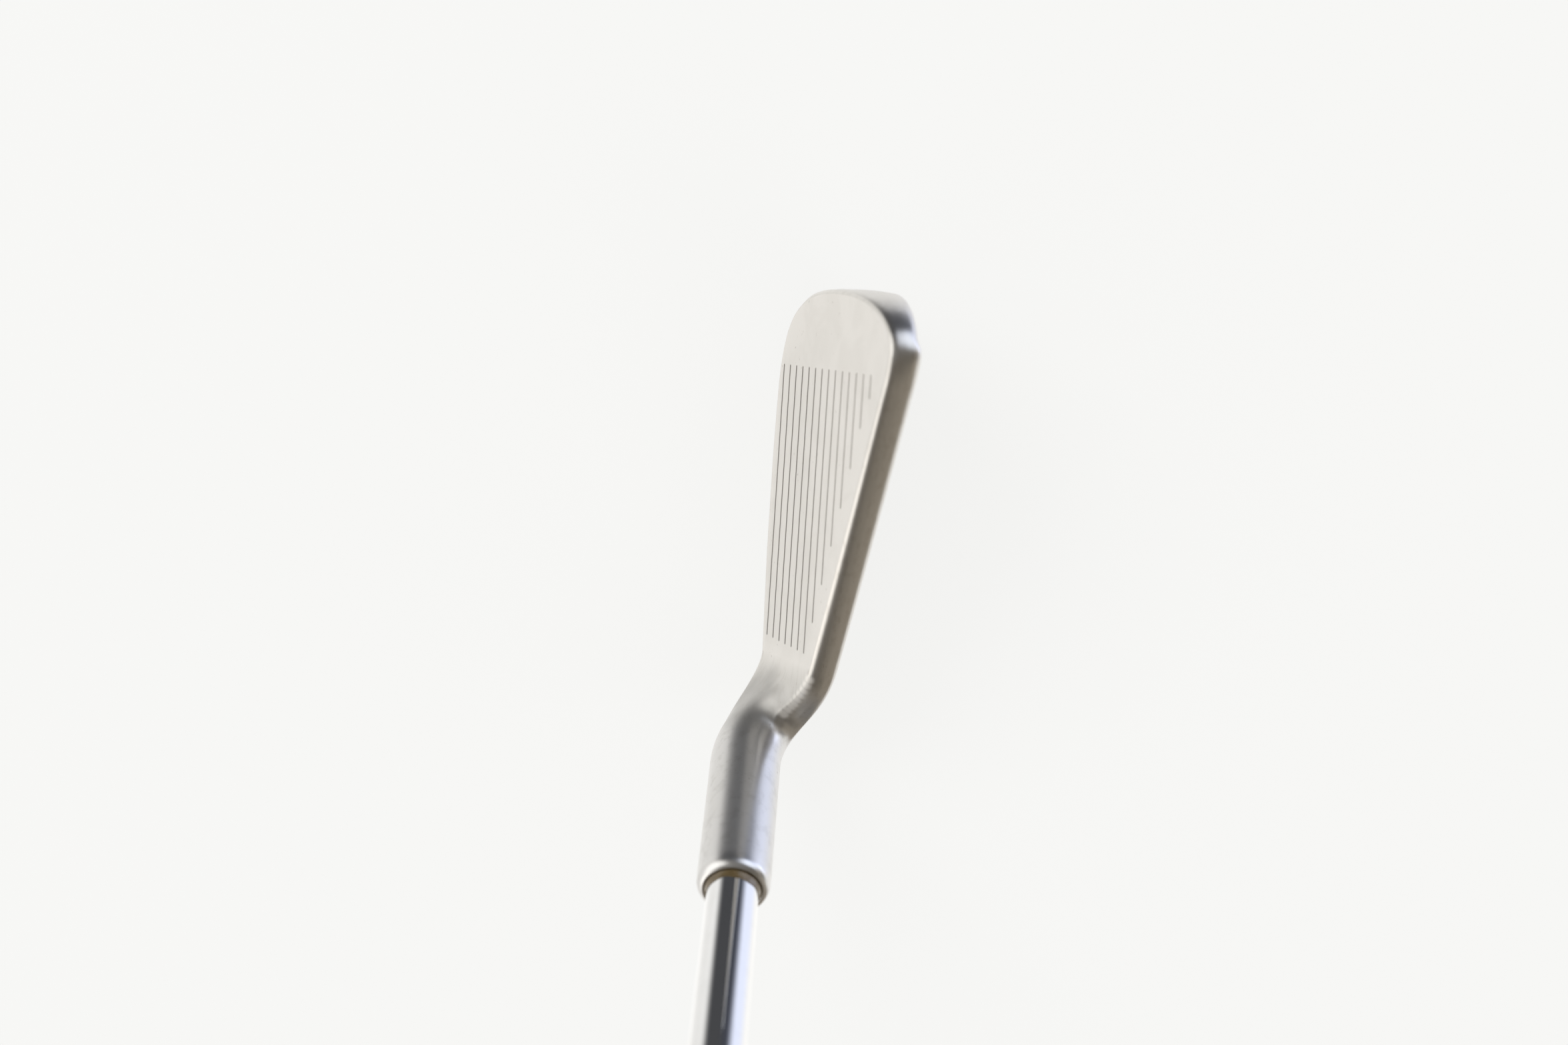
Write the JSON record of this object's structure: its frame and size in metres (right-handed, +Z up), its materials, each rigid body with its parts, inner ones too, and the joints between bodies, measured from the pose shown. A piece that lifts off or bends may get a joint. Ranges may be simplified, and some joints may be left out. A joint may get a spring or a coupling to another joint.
{
  "type": "iron golf club",
  "caption": "Right-handed offset long iron: cast cavity-back head with scored face and round hosel, stepped steel shaft, tapered rubber grip with end cap.",
  "frame": {"origin": "middle of the flat contact patch of the sole, where the head rests on the ground at address, under the middle of the score lines", "axes": "+Z up; -Y is the target side the face looks to; +X runs along the score lines from the toe to the heel and on to the grip; the shaft axis lies in a plane parallel to XZ and leans to +X by the 60 degree lie"},
  "size_m": [0.5846, 0.04, 0.8638],
  "materials": {
    "head_steel": "cast stainless steel, satin on the face and polished on the hosel",
    "shaft_chrome": "bright chrome plate on a stepped steel tube",
    "epoxy": "amber cured epoxy, glossy",
    "brass": "turned brass",
    "cork": "pressed cork",
    "band_film": "plain printed film, no lettering",
    "tape": "double-sided paper tape",
    "grip_rubber": "moulded black rubber with a fine tread pattern",
    "cap_rubber": "smooth moulded black rubber"
  },
  "bodies": {
    "root": {"club_head": "head_steel", "shaft": "shaft_chrome", "hosel_epoxy": "epoxy", "tip_weight": "brass", "tip_cork": "cork", "shaft_band": "band_film", "grip_tape": "tape", "grip_sleeve": "grip_rubber", "grip_cap": "cap_rubber"}
  },
  "joints": []
}
